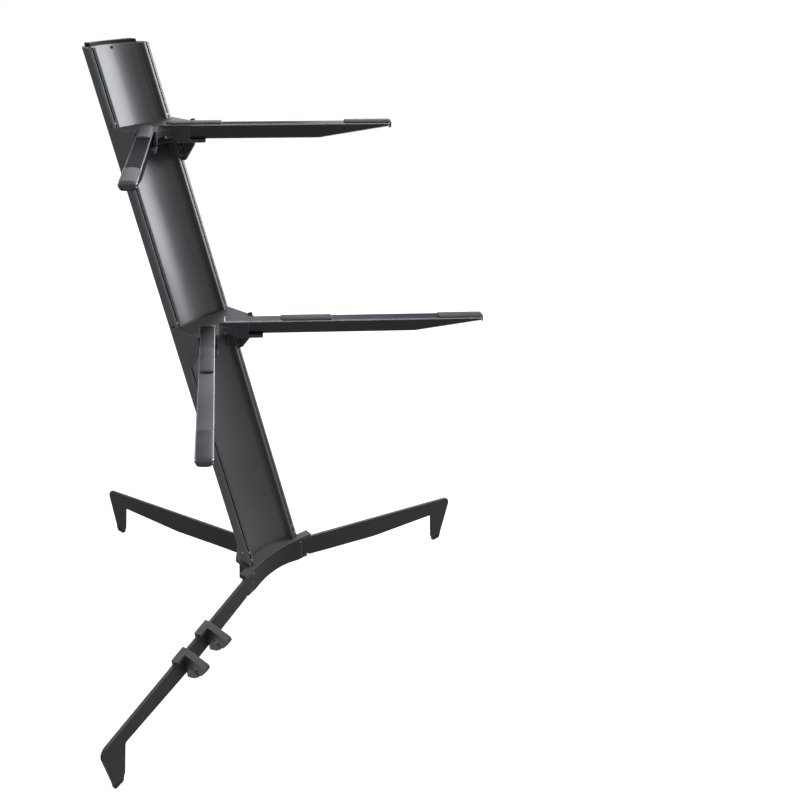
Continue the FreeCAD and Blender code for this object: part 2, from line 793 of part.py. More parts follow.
def tray_wire():
    """The bracket in plan: a bar before the column, two open sockets and a hollow web between them."""
    outer = arm_point(socket_length, socket_half)
    inner = arm_point(socket_length, -socket_half)
    apex = (0, inner[1] + inner[0] / tan(radians(arm_spread)))
    cheek = (cheek_outer, outer[1] + (outer[0] - cheek_outer) / tan(radians(arm_spread)))
    half = [(cheek_outer, 0), cheek, outer, inner]
    points = half + [apex] + [(-x, y) for x, y in reversed(half)]
    corner = socket_corner_radius
    radii = [0, 0, corner, corner, web_radius, corner, corner, 0, 0]
    return rounded_wire(points, radii)


def socket_strip(half, low, high, start, end):
    """A straight strip under or along the right arm."""
    return at_right_arm(block((start, -half, low), (end, half, high)))


def tray_pocket():
    """The room under the skin behind the right socket."""
    edge = cheek_outer - cheek_thickness
    near = arm_point(0, 0)
    low = -arm_height - socket_floor - overrun
    corner = (edge, near[1] + (near[0] - edge) / tan(radians(arm_spread)))
    pocket = prism(closed_wire((socket_wall / 2, 0), (edge, 0), corner, near, (socket_wall / 2, near[1])),
                   -skin_thickness - low, low)
    return pocket.cut(socket_strip(socket_half, low, 0, -socket_wall, socket_length))


def web_slope_room():
    """The wedge over the web between the sockets, whose top slopes down to its front."""
    inner = arm_point(socket_length, -socket_half)
    apex = inner[1] + inner[0] / tan(radians(arm_spread))
    front = apex - 2 * web_radius
    low = -2 * web_radius * tan(radians(web_slope))
    wedge = sideways(prism(closed_wire((apex, 0), (apex, overrun), (front, overrun), (front, low)),
                           2 * web_radius)).translated(vec(-web_radius, 0))
    for strip in pair(socket_strip(socket_half, low, overrun, -socket_length, 2 * socket_length)):
        wedge = wedge.cut(strip)
    return wedge


def cheek():
    """The right side plate beside the rail, with a small lug at the front of its level top."""
    shaped = [(-cheek_reach * shares[0], -cheek_drop * shares[1]) for shares in cheek_shares]
    low_rear = shaped[-1][1]
    points = shaped + [(cheek_rear + low_rear * tan(radians(column_tilt)), low_rear), (cheek_rear, 0)]
    radii = [0] + [cheek_corner_radius] * (len(points) - 2) + [0]
    plate = sideways(prism(rounded_wire(points, radii), cheek_thickness))
    front = -cheek_reach + cheek_corner_radius
    lug = sideways(prism(rounded_wire(
        ((front, -cheek_lug_height), (front + cheek_lug_length, -cheek_lug_height),
         (front + cheek_lug_length, cheek_lug_height / 2), (front, cheek_lug_height)),
        (0, 0, cheek_lug_height / 3, cheek_lug_height / 3)), cheek_thickness))
    return plate.fuse(lug).translated(vec(cheek_inner, 0))


def crossbar():
    """A plate against the rails' fronts: a beam at the top and a leg down each rail."""
    half = cheek_inner + cheek_thickness / 2
    inner = half - crossbar_leg_width
    points = ((-half, crossbar_thickness), (-half, -crossbar_drop), (-inner, -crossbar_drop),
              (-inner, -crossbar_beam), (inner, -crossbar_beam), (inner, -crossbar_drop),
              (half, -crossbar_drop), (half, crossbar_thickness))
    corner = crossbar_corner_radius
    radii = (0, 0, corner / 2, corner, corner, corner / 2, 0, 0)
    plate = upright(prism(rounded_wire(points, radii), crossbar_thickness))
    return tilted(plate.translated(vec(0, -slide_gap, 0))).common(level_slab(-stand_size, 0))


def column_room():
    """The space in front of and between the cheeks that the column and its clearance take."""
    half = half_width + slide_gap
    return tilted(block((-half, -slide_gap, -stand_size), (half, column_depth, stand_size)))


def clamp_screw_places():
    """Right clamp screw in the crossbar's leg and grub screw in the rail's slot above the bracket."""
    seat = -slide_gap - crossbar_thickness + clamp_screw_head_height
    front = rail_front_at(rail_middle)
    return vec(rail_middle, seat, -clamp_screw_drop), vec(rail_middle, front, grub_screw_rise)


def make_bracket():
    floor = -arm_height - slide_gap - socket_floor
    tray = prism(tray_wire(), -floor, floor)
    web = tray.cut(web_slope_room())
    arch = upright(prism(closed_wire(
        (-web_arch_half_width, floor - overrun), (-web_arch_half_width, floor),
        ((0, floor + web_arch_rise), (web_arch_half_width, floor)),
        (web_arch_half_width, floor - overrun)), stand_size))
    web = web.cut(arch)
    channel = socket_strip(arm_width / 2 + slide_gap, -arm_height - slide_gap, overrun, -slide_gap,
                           2 * socket_length)
    trim = socket_strip(2 * socket_half, -socket_wall_drop, overrun, socket_length - socket_half,
                        2 * socket_length)
    inner_trim = at_right_arm(block((socket_inner_length, -2 * socket_half, -arm_height - slide_gap),
                                    (2 * socket_length, 0, overrun)))
    for cutter in pair(channel) + pair(tray_pocket()) + pair(trim) + pair(inner_trim):
        web = web.cut(cutter)
    body = fuse([web, crossbar()] + pair(cheek())).cut(column_room())
    for piece in pair(channel):
        body = body.cut(piece)
    clamp, _ = clamp_screw_places()
    recess = Part.makeCylinder(clamp_screw_head_radius + screw_gap, overrun, clamp, vec(0, -1))
    clamp_hole = tilted(recess.fuse(hole(clamp_screw_radius, crossbar_thickness, clamp, vec(0, 1))))
    seats = [at_right_arm(Part.makeCylinder(arm_screw_radius + screw_gap, socket_floor + 2 * overrun,
                                            place - vec(0, 0, overrun))) for place in arm_screw_places()]
    for cutter in pair(clamp_hole) + [item for seat in seats for item in pair(seat)]:
        body = body.cut(cutter)
    return body


def nut_blank():
    """The slide nut's bar in the right rail, in the column's axes."""
    half = rail_width / 2 - rail_wall - slide_gap
    top = slide_nut_rise
    return block((rail_middle - half, rail_lip + slide_gap, top - slide_nut_length),
                 (rail_middle + half, rail_lip + slide_gap + slide_nut_thickness, top))


def make_slide_nuts():
    clamp, grub = clamp_screw_places()
    nut = nut_blank()
    depth = crossbar_thickness + rail_lip + slide_nut_thickness
    for place in (clamp, grub):
        nut = nut.cut(hole(clamp_screw_radius, depth, place, vec(0, 1)))
    return group(pair(tilted(nut)))


def make_clamp_screws():
    clamp, grub = clamp_screw_places()
    nut_rear = rail_lip + slide_gap + slide_nut_thickness
    reach = nut_rear - clamp.y
    main = screw(clamp_screw_radius, reach, clamp_screw_head_radius, clamp_screw_head_height, clamp, vec(0, 1))
    stud = Part.makeCylinder(clamp_screw_radius, nut_rear - grub.y, grub, vec(0, 1))
    return group([shape for item in (main, stud) for shape in pair(tilted(item))])


def make_tier(name, height, arm_length, inner_pad_start):
    """All pieces of one tier, moved to their height on the column."""
    right = {
        "arm": make_arm(arm_length),
        "inner_pad": make_pad(inner_pad_start, inner_pad_length, False),
        "outer_pad": make_pad(arm_length - outer_pad_length, outer_pad_length, True),
    }
    pieces = {"bracket": make_bracket(), "arm_screws": make_arm_screws(),
              "clamp_screws": make_clamp_screws(), "slide_nuts": make_slide_nuts()}
    for piece, shape in right.items():
        pieces["right_" + piece] = shape
        pieces["left_" + piece] = mirrored(shape)
    rise = height - column_foot_height
    place = vec(0, rise * tan(radians(column_tilt)), height)
    return {name + "_" + piece: shape.translated(place) for piece, shape in pieces.items()}


# Assembly

front_leg = make_front_leg()
front_tip = at_front_blade(foot_tip())
clips = [mirrored(at_right_leg(make_clip(station))) for station in clip_stations]
nodes = {
    "column_extrusion": make_column(),
    "column_top_cap": make_cap(),
    "cap_screw": make_cap_screw(),
    "base_hub": make_hub(),
    "rail_tongues": make_rail_tongues(),
    "column_screws": group(foot_screws()),
    "leg_hinge_pins": make_hinge_pins(),
    "pin_set_screws": make_set_screws(),
    "rear_leg": rear_bolt_holes(at_rear_leg(rear_blade())),
    "rear_leg_bolts": group(make_rear_bolts()),
    "rear_foot_tip": at_rear_leg(at_rear_blade(foot_tip())),
    "right_leg": at_right_leg(front_leg),
    "right_foot_tip": at_right_leg(front_tip),
    "left_leg": mirrored(at_right_leg(front_leg)),
    "left_foot_tip": mirrored(at_right_leg(front_tip)),
    "inner_leg_clip": clips[0],
    "outer_leg_clip": clips[1],
}
for tier_name, sizes in tiers.items():
    nodes.update(make_tier(tier_name, **sizes))

box = group(list(nodes.values())).optimalBoundingBox(False)
centre = vec(0, -(box.YMin + box.YMax) / 2)
os.makedirs("parts", exist_ok=True)
for node_name, shape in nodes.items():
    shape.translated(centre).exportStep("parts/" + node_name + ".step")
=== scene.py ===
from math import pi, radians, sqrt

import bpy
import numpy as np
from bpy.props import FloatProperty, FloatVectorProperty, PointerProperty
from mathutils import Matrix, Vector


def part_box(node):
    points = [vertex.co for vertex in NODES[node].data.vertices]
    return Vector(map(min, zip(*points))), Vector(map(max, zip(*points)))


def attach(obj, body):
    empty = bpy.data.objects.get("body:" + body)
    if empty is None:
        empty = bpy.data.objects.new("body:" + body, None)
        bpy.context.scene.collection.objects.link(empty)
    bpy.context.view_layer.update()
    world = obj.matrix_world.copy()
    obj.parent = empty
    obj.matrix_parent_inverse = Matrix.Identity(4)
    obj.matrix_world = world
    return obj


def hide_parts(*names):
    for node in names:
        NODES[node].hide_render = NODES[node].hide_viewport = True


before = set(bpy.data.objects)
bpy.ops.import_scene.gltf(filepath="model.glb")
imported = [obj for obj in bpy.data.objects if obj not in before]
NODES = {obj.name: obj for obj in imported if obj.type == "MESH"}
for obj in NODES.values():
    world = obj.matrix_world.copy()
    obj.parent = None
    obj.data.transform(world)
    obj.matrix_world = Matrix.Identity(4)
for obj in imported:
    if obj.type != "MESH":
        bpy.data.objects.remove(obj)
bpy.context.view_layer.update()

bl_info = {
    "name": "Two-Tier Keyboard Stand",
    "version": (1, 0, 0),
    "blender": (4, 5, 0),
    "location": "View3D > Sidebar > Stand",
    "description": "Finishes, rubber pads and studio for a leaning two-tier keyboard stand",
    "category": "Add Mesh",
}

TIERS = ("lower", "upper")
SIDES = {"left": -1.0, "right": 1.0}

# Where the column's rails begin, from its middle, in metres
RAIL_INNER = 0.056
# How far the column leans back from upright
COLUMN_LEAN = radians(22.3)
# The arms leave the column at half a right angle, so both plan directions share this part
ARM_TURN = radians(45.0)
ARM_PLAN = sqrt(0.5)

# The middle half of a noise value, which is all that the finishes use
NOISE_LOW, NOISE_HIGH = 0.25, 0.75
# Shade patches in a metre of coat or anodised skin, and smears across and along a screw
COAT_PATCHES = 28.0
SKIN_PATCHES = 9.0
STEEL_SMEARS = (900.0, 900.0, 220.0)
# How far the shade of each finish varies, as a share of its tint
COAT_SHADES = 0.12
RUBBER_SHADES = 0.2
SKIN_SHADES = 0.10
STEEL_SHADES = 0.25
# How far the roughness of each finish varies to both sides
COAT_SPREAD = 0.04
SKIN_SPREAD = 0.015
STEEL_SPREAD = 0.08
# Depth of the finest bumps in metres
DIE_LINE_DEPTH = 0.000004
STEEL_DEPTH = 0.00002
MOULD_DEPTH = 0.00003
RUBBER_DEPTH = 0.00004
LEG_PEEL_DEPTH = 0.00005
CAST_PEEL_DEPTH = 0.00006
# Radius of a broken edge in metres, and the rays that find edges
EDGE_RADIUS = 0.0009
EDGE_SAMPLES = 4
EDGE_HIGHLIGHT_SAMPLES = 6
# Cosine of the turn at which an edge begins to get its painted highlight, and at which it has it
# fully
EDGE_HIGHLIGHT_RANGE = (0.99, 0.80)
# Sideways part of the normal at which a face begins to get the painted light of a cheek, and fully
# does
CHEEK_LIGHT_RANGE = (0.80, 0.95)
# Place times normal, both across the column, where a face begins to get the painted light of a
# trough wall, and fully does
WALL_LIGHT_RANGE = (-0.5 * RAIL_INNER, -0.9 * RAIL_INNER)

# Points along a pad's flat part, round its fold, down its lip and round its section
FLAT_POINTS, FOLD_POINTS, LIP_POINTS, SECTION_POINTS = 97, 13, 33, 72
# Powers of the superellipses of a pad's section and of its rolled ends
SECTION_POWER = 0.4
ROLL_POWER = 2.4
# How far down its superellipse a roll goes, so that a pad's ends keep some thickness
ROLL_SHARE = 0.96

# Each lamp's place, its width and height in metres, and the setting that holds its power
LAMPS = {
    "key_light": ((2.47, -1.11, 1.93), (1.68, 1.7), "key_power"),
    "rear_light": ((1.45, 1.75, 2.25), (1.2, 0.7), "rear_power"),
    "side_light": ((2.65, 1.5, 1.6), (0.8, 0.8), "side_power"),
    "top_light": ((0.3, -0.2, 3.2), (2.2, 2.2), "top_power"),
    "fill_light": ((-2.4, -1.0, 2.0), (1.6, 1.6), "fill_power"),
}
# The point that every lamp faces
LAMP_TARGET = (0.0, 0.0, 0.7)
# Grey of the floor for bounced light, grey of the floor that is seen, and its glow
FLOOR_BOUNCE, FLOOR_SEEN, FLOOR_GLOW = 0.7, 0.3, 0.90


# ---------------------------------------------------------------- settings

def colour(name, description, value):
    """A colour setting with its three parts between black and white."""
    return FloatVectorProperty(name=name, description=description, default=value, size=3,
                               min=0.0, max=1.0, subtype="COLOR")


def share(name, description, value):
    """A setting between nothing and all."""
    return FloatProperty(name=name, description=description, default=value,
                         min=0.0, max=1.0, subtype="FACTOR")


def length(name, description, value):
    """A length in metres."""
    return FloatProperty(name=name, description=description, default=value,
                         min=0.0, precision=5, unit="LENGTH", subtype="DISTANCE")


def gain(name, description, value):
    """A brightness beside the rest, where one is no change."""
    return FloatProperty(name=name, description=description, default=value,
                         min=1.0, max=6.0, subtype="FACTOR")


def power(name, description, value):
    """The power of a lamp in watts."""
    return FloatProperty(name=name, description=description, default=value,
                         min=0.0, unit="POWER")


def frame_shift(name, description, value):
    """A shift of the picture as a share of its width."""
    return FloatProperty(name=name, description=description, default=value,
                         min=-1.0, max=1.0, precision=5, subtype="FACTOR")


class ColumnFinish(bpy.types.PropertyGroup):
    """Black anodised extrusion with faint die lines along its length."""

    tint: colour("Tint", "Colour of the anodised skin", (0.0595, 0.061, 0.065))
    metal: share("Metal", "How far the metal shows through the skin", 0.72)
    edge: share("Edge", "How much of the metal's glancing reflection is kept", 0.35)
    gloss: share("Gloss", "Specular level of the skin", 0.10)
    roughness: share("Roughness", "How far the satin skin spreads a highlight", 0.31)
    rail_roughness: share("Rail roughness", "Roughness that sliding tiers add to the rails", 0.09)
    # Wall lift is painted light on the shaded trough walls
    painted_wall_light: gain("Wall lift", "Brightness of the trough's walls beside the rest", 3.2)
    # Worn tint and wear width set the painted highlight along the edges
    edge_highlight_tint: colour("Worn tint", "Colour along the edges", (0.22, 0.22, 0.225))
    edge_highlight_width: length("Wear width", "Width of the lighter line along an edge", 0.0014)
    line_pitch: length("Line pitch", "Spacing of the die lines across the column", 0.0011)
    line_length: length("Line length", "Run of a die line along the column", 0.35)


class CastingFinish(bpy.types.PropertyGroup):
    """Black powder coat with a fine orange peel on the cast brackets."""

    tint: colour("Tint", "Colour of the coat", (0.034, 0.035, 0.038))
    roughness: share("Roughness", "How matt the coat is", 0.50)
    gloss: share("Gloss", "Specular level of the coat", 0.07)
    # Cheek lift is painted light on the cheeks
    painted_cheek_light: gain("Cheek lift", "Brightness of the cheeks beside the rest", 2.1)
    # Worn tint and wear width set the painted highlight along the edges
    edge_highlight_tint: colour("Worn tint", "Colour along the edges", (0.17, 0.17, 0.175))
    edge_highlight_width: length("Wear width", "Width of the lighter line along an edge", 0.0018)
    peel_size: length("Peel size", "Width of one dimple in the coat", 0.0012)


class ArmFinish(bpy.types.PropertyGroup):
    """Satin black anodised skin on the drawn arm bars, with painted shade that darkens their sides
    below their upper faces.
    """

    # The tint is the lit upper faces; the side share is painted shade on the sides and undersides
    tint: colour("Tint", "Colour of the anodised metal on the upper faces", (0.068, 0.069, 0.074))
    painted_side_shade: share("Side share", "Brightness of the sides as a share of the upper faces", 0.28)
    edge: share("Edge", "How much of the metal's glancing reflection is kept", 0.30)
    roughness: share("Roughness", "How far the skin spreads a highlight", 0.34)
    # Worn tint and wear width set the painted highlight along the edges
    edge_highlight_tint: colour("Worn tint", "Colour along the edges", (0.80, 0.80, 0.82))
    edge_highlight_width: length("Wear width", "Width of the lighter line along an edge", 0.0036)
    line_pitch: length("Line pitch", "Spacing of the die lines across an arm", 0.0010)
    line_length: length("Line length", "Run of a die line along an arm", 0.25)


class LegFinish(bpy.types.PropertyGroup):
    """Matt black coat on the hub and the flat steel legs."""

    # The tint is the lit upper faces; the side share is painted shade on the sides and undersides
    tint: colour("Tint", "Colour of the coat on the upper faces", (0.062, 0.066, 0.064))
    painted_side_shade: share("Side share", "Brightness of the sides as a share of the upper faces", 0.15)
    # Worn tint and wear width set the painted highlight along the edges
    edge_highlight_tint: colour("Worn tint", "Colour along the edges", (0.15, 0.155, 0.153))
    edge_highlight_width: length("Wear width", "Width of the lighter line along an edge", 0.0018)
    roughness: share("Roughness", "How matt the coat is", 0.58)
    gloss: share("Gloss", "Specular level of the coat", 0.11)
    peel_size: length("Peel size", "Width of one dimple in the coat", 0.0010)


class PlasticFinish(bpy.types.PropertyGroup):
    """Moulded black plastic of the top cap and the leg clips."""

    cap_tint: colour("Cap tint", "Colour of the top cap", (0.008, 0.0085, 0.0085))
    cap_gloss: share("Cap gloss", "Specular level of the top cap", 0.04)
    # The tint is the lit upper faces; the side share is painted shade on the sides and undersides
    tint: colour("Tint", "Colour of the plastic on the upper faces", (0.044, 0.046, 0.047))
    painted_side_shade: share("Side share", "Brightness of the sides as a share of the upper faces", 0.27)
    # Worn tint and wear width set the painted highlight along the edges
    edge_highlight_tint: colour("Worn tint", "Colour along the edges", (0.14, 0.14, 0.145))
    edge_highlight_width: length("Wear width", "Width of the lighter line along an edge", 0.0014)
    roughness: share("Roughness", "How matt the moulding is", 0.46)
    gloss: share("Gloss", "Specular level of the moulding", 0.30)
    grain_size: length("Grain size", "Width of one cell of the moulded grain", 0.0008)


class FastenerFinish(bpy.types.PropertyGroup):
    """Dull steel of the screws, bolts and slide nuts, and the black cap screw."""

    tint: colour("Tint", "Colour of the steel heads", (0.16, 0.16, 0.165))
    roughness: share("Roughness", "How dull the heads are", 0.36)
    cap_tint: colour("Cap screw tint", "Colour of the screw under the cap", (0.006, 0.006, 0.006))


class RubberFinish(bpy.types.PropertyGroup):
    """Matt black rubber of the pads and the foot tips."""

    pad_tint: colour("Pad tint", "Colour of the arm pads", (0.061, 0.063, 0.071))
    foot_tint: colour("Foot tint", "Colour of the foot tips", (0.012, 0.012, 0.0125))
    # Rim lift is a painted highlight on the pads' rounded rims
    rim_highlight: share("Rim lift", "How much lighter the rounded rims of the pads are", 0.9)
    roughness: share("Roughness", "How matt the rubber is", 0.58)
    gloss: share("Gloss", "Specular level of the rubber", 0.06)
    grain_size: length("Grain size", "Width of one cell of the moulded grain", 0.0006)


class PadShape(bpy.types.PropertyGroup):
    """The arm pads: crowned rubber strips, the outer ones folded over the arm's tip."""

    width: length("Width", "Pad width across the arm", 0.024)
    crown: length("Crown", "Rise of the pad's top from its edges to its middle", 0.0016)
    lip: length("Lip", "Thickness of the part that hangs over the arm's tip", 0.004)
    fold: length("Fold", "Inner radius where the pad turns over the tip", 0.0014)
    roll: length("Roll", "Length over which a pad's end rolls down to the arm", 0.0026)
    corner: length("Corner", "Radius of a pad's corners seen from above", 0.0055)


class StudioSettings(bpy.types.PropertyGroup):
    """White floor, soft lamps and the camera."""

    camera_place: FloatVectorProperty(name="Camera place", description="Where the camera stands",
                                      default=(-1.1596, -1.19727, 1.3149), size=3,
                                      unit="LENGTH", subtype="TRANSLATION")
    camera_look: FloatVectorProperty(name="Camera look", description="Direction of the view",
                                     default=(0.6675, 0.6079, -0.4299), size=3,
                                     subtype="DIRECTION")
    camera_lens: FloatProperty(name="Lens", description="Focal length on a 36 mm sensor",
                               default=42.74, unit="CAMERA")
    shift_across: frame_shift("Shift across", "Sideways shift of the frame", 0.16425)
    shift_up: frame_shift("Shift up", "Upward shift of the frame", -0.03245)
    floor_reach: length("Floor reach", "Half the width of the floor", 40.0)
    key_power: power("Key power", "Power of the soft light at the right", 128.0)
    rear_power: power("Rear power", "Power of the soft light behind the stand", 32.0)
    side_power: power("Side power", "Power of the low light behind the right", 16.0)
    top_power: power("Top power", "Power of the overhead light", 14.0)
    fill_power: power("Fill power", "Power of the light beside the camera", 9.0)
    room_light: share("Room light", "Strength of the light from all round", 0.35)


# ---------------------------------------------------------------- materials

def start_material(name):
    """A new node material, its tree and its main shader."""
    made = bpy.data.materials.new(name)
    made.use_nodes = True
    return made, made.node_tree, made.node_tree.nodes["Principled BSDF"]


def pattern_place(tree, scale, turn=(0.0, 0.0, 0.0)):
    """Object coordinates turned by three angles and multiplied by three scales."""
    place = tree.nodes.new("ShaderNodeTexCoord")
    turned = tree.nodes.new("ShaderNodeMapping")
    turned.vector_type = "TEXTURE"
    turned.inputs["Rotation"].default_value = turn
    turned.inputs["Scale"].default_value = [1.0 / part for part in scale]
    tree.links.new(place.outputs["Object"], turned.inputs["Vector"])
    return turned.outputs["Vector"]


def noise(tree, place, detail):
    """Cloudy noise with one cell to a unit of the given coordinates."""
    made = tree.nodes.new("ShaderNodeTexNoise")
    made.inputs["Scale"].default_value = 1.0
    made.inputs["Detail"].default_value = detail
    tree.links.new(place, made.inputs["Vector"])
    return made.outputs["Fac"]


def calculate(tree, operation, *values):
    """The result of one operation on numbers and sockets."""
    made = tree.nodes.new("ShaderNodeMath")
    made.operation = operation
    for socket, value in zip(made.inputs, values):
        if isinstance(value, bpy.types.NodeSocket):
            tree.links.new(value, socket)
        else:
            socket.default_value = value
    return made.outputs["Value"]


def map_range(tree, value, before, after):
    """Maps a value from one pair of limits to another, and holds it between them."""
    made = tree.nodes.new("ShaderNodeMapRange")
    for name, limit in zip(("From Min", "From Max", "To Min", "To Max"), (*before, *after)):
        made.inputs[name].default_value = limit
    tree.links.new(value, made.inputs["Value"])
    return made.outputs["Result"]


def spread(tree, value, low, high):
    """Maps the middle half of a value to the range from low to high."""
    return map_range(tree, value, (NOISE_LOW, NOISE_HIGH), (low, high))


def shade(tree, value, tint, change):
    """Runs a noise value through a ramp from a darker to a lighter shade of one tint."""
    ramp = tree.nodes.new("ShaderNodeValToRGB")
    ends = ramp.color_ramp.elements
    ends[0].position = NOISE_LOW
    ends[1].position = NOISE_HIGH
    ends[0].color = [part * (1.0 - change) for part in tint] + [1.0]
    ends[1].color = [part * (1.0 + change) for part in tint] + [1.0]
    tree.links.new(value, ramp.inputs["Fac"])
    return ramp.outputs["Color"]


def roughen(tree, shader, value, depth):
    """Fine bumps of this depth in metres, over edges that catch light as if broken by a file."""
    edge = tree.nodes.new("ShaderNodeBevel")
    edge.samples = EDGE_SAMPLES
    edge.inputs["Radius"].default_value = EDGE_RADIUS
    bump = tree.nodes.new("ShaderNodeBump")
    bump.inputs["Distance"].default_value = depth
    tree.links.new(value, bump.inputs["Height"])
    tree.links.new(edge.outputs["Normal"], bump.inputs["Normal"])
    tree.links.new(bump.outputs["Normal"], shader.inputs["Normal"])


def coat(name, tint, roughness, gloss, grain, depth, change=COAT_SHADES):
    """A matt or satin coat: fine bumps, patches of slightly different shade and roughness."""
    made, tree, shader = start_material(name)
    fine = noise(tree, pattern_place(tree, [1.0 / grain] * 3), detail=2.0)
    patches = noise(tree, pattern_place(tree, [COAT_PATCHES] * 3), detail=4.0)
    tree.links.new(shade(tree, patches, tint, change), shader.inputs["Base Color"])
    tree.links.new(spread(tree, patches, roughness - COAT_SPREAD, roughness + COAT_SPREAD),
                   shader.inputs["Roughness"])
    shader.inputs["Specular IOR Level"].default_value = gloss
    roughen(tree, shader, fine, depth)
    return made


def extruded_finish(name, look, turn):
    """Satin skin: lines stretched along the bar's turned Z axis set its bumps and roughness.

    Returns the material and its shader, which takes the gloss or the metal's values."""
    made, tree, shader = start_material(name)
    across = 1.0 / look.line_pitch
    along = 1.0 / look.line_length
    lines = noise(tree, pattern_place(tree, (across, across, along), turn), detail=2.0)
    patches = noise(tree, pattern_place(tree, [SKIN_PATCHES] * 3), detail=4.0)
    tree.links.new(shade(tree, patches, look.tint, SKIN_SHADES), shader.inputs["Base Color"])
    tree.links.new(spread(tree, lines, look.roughness - SKIN_SPREAD, look.roughness + SKIN_SPREAD),
                   shader.inputs["Roughness"])
    roughen(tree, shader, lines, DIE_LINE_DEPTH)
    return made, shader


def scale_colour(finish, factor):
    """Multiplies a finish's base colour by the value of a socket."""
    tree = finish.node_tree
    scale = tree.nodes.new("ShaderNodeVectorMath")
    scale.operation = "SCALE"
    socket = tree.nodes["Principled BSDF"].inputs["Base Color"]
    tree.links.new(factor, scale.inputs["Scale"])
    tree.links.new(socket.links[0].from_socket, scale.inputs["Vector"])
    tree.links.new(scale.outputs["Vector"], socket)


def coordinate_parts(tree, kind):
    """The x, y and z parts of the Object or Normal coordinates."""
    place = tree.nodes.new("ShaderNodeTexCoord")
    parts = tree.nodes.new("ShaderNodeSeparateXYZ")
    tree.links.new(place.outputs[kind], parts.inputs["Vector"])
    return parts.outputs


def paint_side_shade(finish, painted_side_shade):
    """Paints shade on sideways and downward faces: darkens their base colour to a share of its full
    value, so the upper faces look lit.
    """
    tree = finish.node_tree
    scale_colour(finish, spread(tree, coordinate_parts(tree, "Normal")["Z"], painted_side_shade, 1.0))


def paint_rim_highlights(finish, lift):
    """Paints highlights on rounded edges, lightening them by 1 + 4 lift z (1 - z), where z is the
    normal's upward part.
    """
    tree = finish.node_tree
    up = coordinate_parts(tree, "Normal")["Z"]
    most = 4.0 * lift
    rest = calculate(tree, "SUBTRACT", most, calculate(tree, "MULTIPLY", up, most))
    scale_colour(finish, calculate(tree, "MULTIPLY_ADD", rest, up, 1.0))


def paint_cheek_light(finish, lift):
    """Paints light on the faces that point straight to the left or the right, brightening the
    cheeks as a side lamp would.
    """
    tree = finish.node_tree
    sideways = calculate(tree, "ABSOLUTE", coordinate_parts(tree, "Normal")["X"])
    scale_colour(finish, map_range(tree, sideways, CHEEK_LIGHT_RANGE, (1.0, lift)))


def roughen_rails_paint_wall_light(finish, roughness, lift):
    """Roughens the rails beyond the trough, and paints light on the walls between them and the
    trough, which lie in shade.

    A wall faces the middle, so its normal's x times its place's x is about -RAIL_INNER."""
    tree = finish.node_tree
    across = coordinate_parts(tree, "Object")["X"]
    on_rail = calculate(tree, "GREATER_THAN", calculate(tree, "ABSOLUTE", across), RAIL_INNER)
    socket = tree.nodes["Principled BSDF"].inputs["Roughness"]
    rougher = calculate(tree, "MULTIPLY_ADD", on_rail, roughness, socket.links[0].from_socket)
    tree.links.new(rougher, socket)
    inward = calculate(tree, "MULTIPLY", across, coordinate_parts(tree, "Normal")["X"])
    scale_colour(finish, map_range(tree, inward, WALL_LIGHT_RANGE, (1.0, lift)))


def paint_edge_highlights(finish, tint, width):
    """Paints highlights along edges: a light tint where the normal turns within the given width, at
    corners and edges, as if they caught the light.
    """
    tree = finish.node_tree
    turned = tree.nodes.new("ShaderNodeBevel")
    turned.samples = EDGE_HIGHLIGHT_SAMPLES
    turned.inputs["Radius"].default_value = width
    face = tree.nodes.new("ShaderNodeNewGeometry")
    same = tree.nodes.new("ShaderNodeVectorMath")
    same.operation = "DOT_PRODUCT"
    tree.links.new(turned.outputs["Normal"], same.inputs[0])
    tree.links.new(face.outputs["Normal"], same.inputs[1])
    highlit = map_range(tree, same.outputs["Value"], EDGE_HIGHLIGHT_RANGE, (0.0, 1.0))
    mixed = tree.nodes.new("ShaderNodeMixRGB")
    mixed.inputs["Color2"].default_value = [*tint, 1.0]
    socket = tree.nodes["Principled BSDF"].inputs["Base Color"]
    tree.links.new(highlit, mixed.inputs["Fac"])
    tree.links.new(socket.links[0].from_socket, mixed.inputs["Color1"])
    tree.links.new(mixed.outputs["Color"], socket)


def fastener_finish(name, look):
    """Dull steel with faint smears."""
    made, tree, shader = start_material(name)
    smears = noise(tree, pattern_place(tree, STEEL_SMEARS), detail=3.0)
    tree.links.new(shade(tree, smears, look.tint, STEEL_SHADES), shader.inputs["Base Color"])
    tree.links.new(spread(tree, smears, look.roughness - STEEL_SPREAD,
                          look.roughness + STEEL_SPREAD),
                   shader.inputs["Roughness"])
    shader.inputs["Metallic"].default_value = 1.0
    roughen(tree, shader, smears, STEEL_DEPTH)
    return made


def paint(names, finish):
    """Gives CAD nodes one finish."""
    for name in names:
        slots = NODES[name].data.materials
        slots.clear()
        slots.append(finish)


# ---------------------------------------------------------------- pads

def pad_line(run, drop, lip, fold):
    """Underside of a pad along the arm: straight to the tip, a quarter turn, then straight down.

    Returns distance along the arm, height, and the outward direction's two parts. A pad with no
    drop is straight from end to end."""
    if drop <= 0.0:
        along = run / 2 * np.sin(np.linspace(-pi / 2, pi / 2, FLAT_POINTS))
        level = np.zeros_like(along)
        return along, level, level, np.ones_like(along)
    tip = run / 2 - lip
    turn = np.linspace(0.0, pi / 2, FOLD_POINTS)[1:-1]
    ease = 1.0 - np.cos(np.linspace(0.0, pi / 2, FLAT_POINTS))
    flat = -run / 2 + (run / 2 + tip - fold) * ease
    hang = -fold - (drop - fold) * np.sin(np.linspace(0.0, pi / 2, LIP_POINTS))
    along = np.concatenate([flat, tip - fold + fold * np.sin(turn), np.full_like(hang, tip)])
    level = np.concatenate([np.zeros_like(flat), fold * (np.cos(turn) - 1.0), hang])
    out_along = np.concatenate([np.zeros_like(flat), np.sin(turn), np.ones_like(hang)])
    out_up = np.concatenate([np.ones_like(flat), np.cos(turn), np.zeros_like(hang)])
    return along, level, out_along, out_up


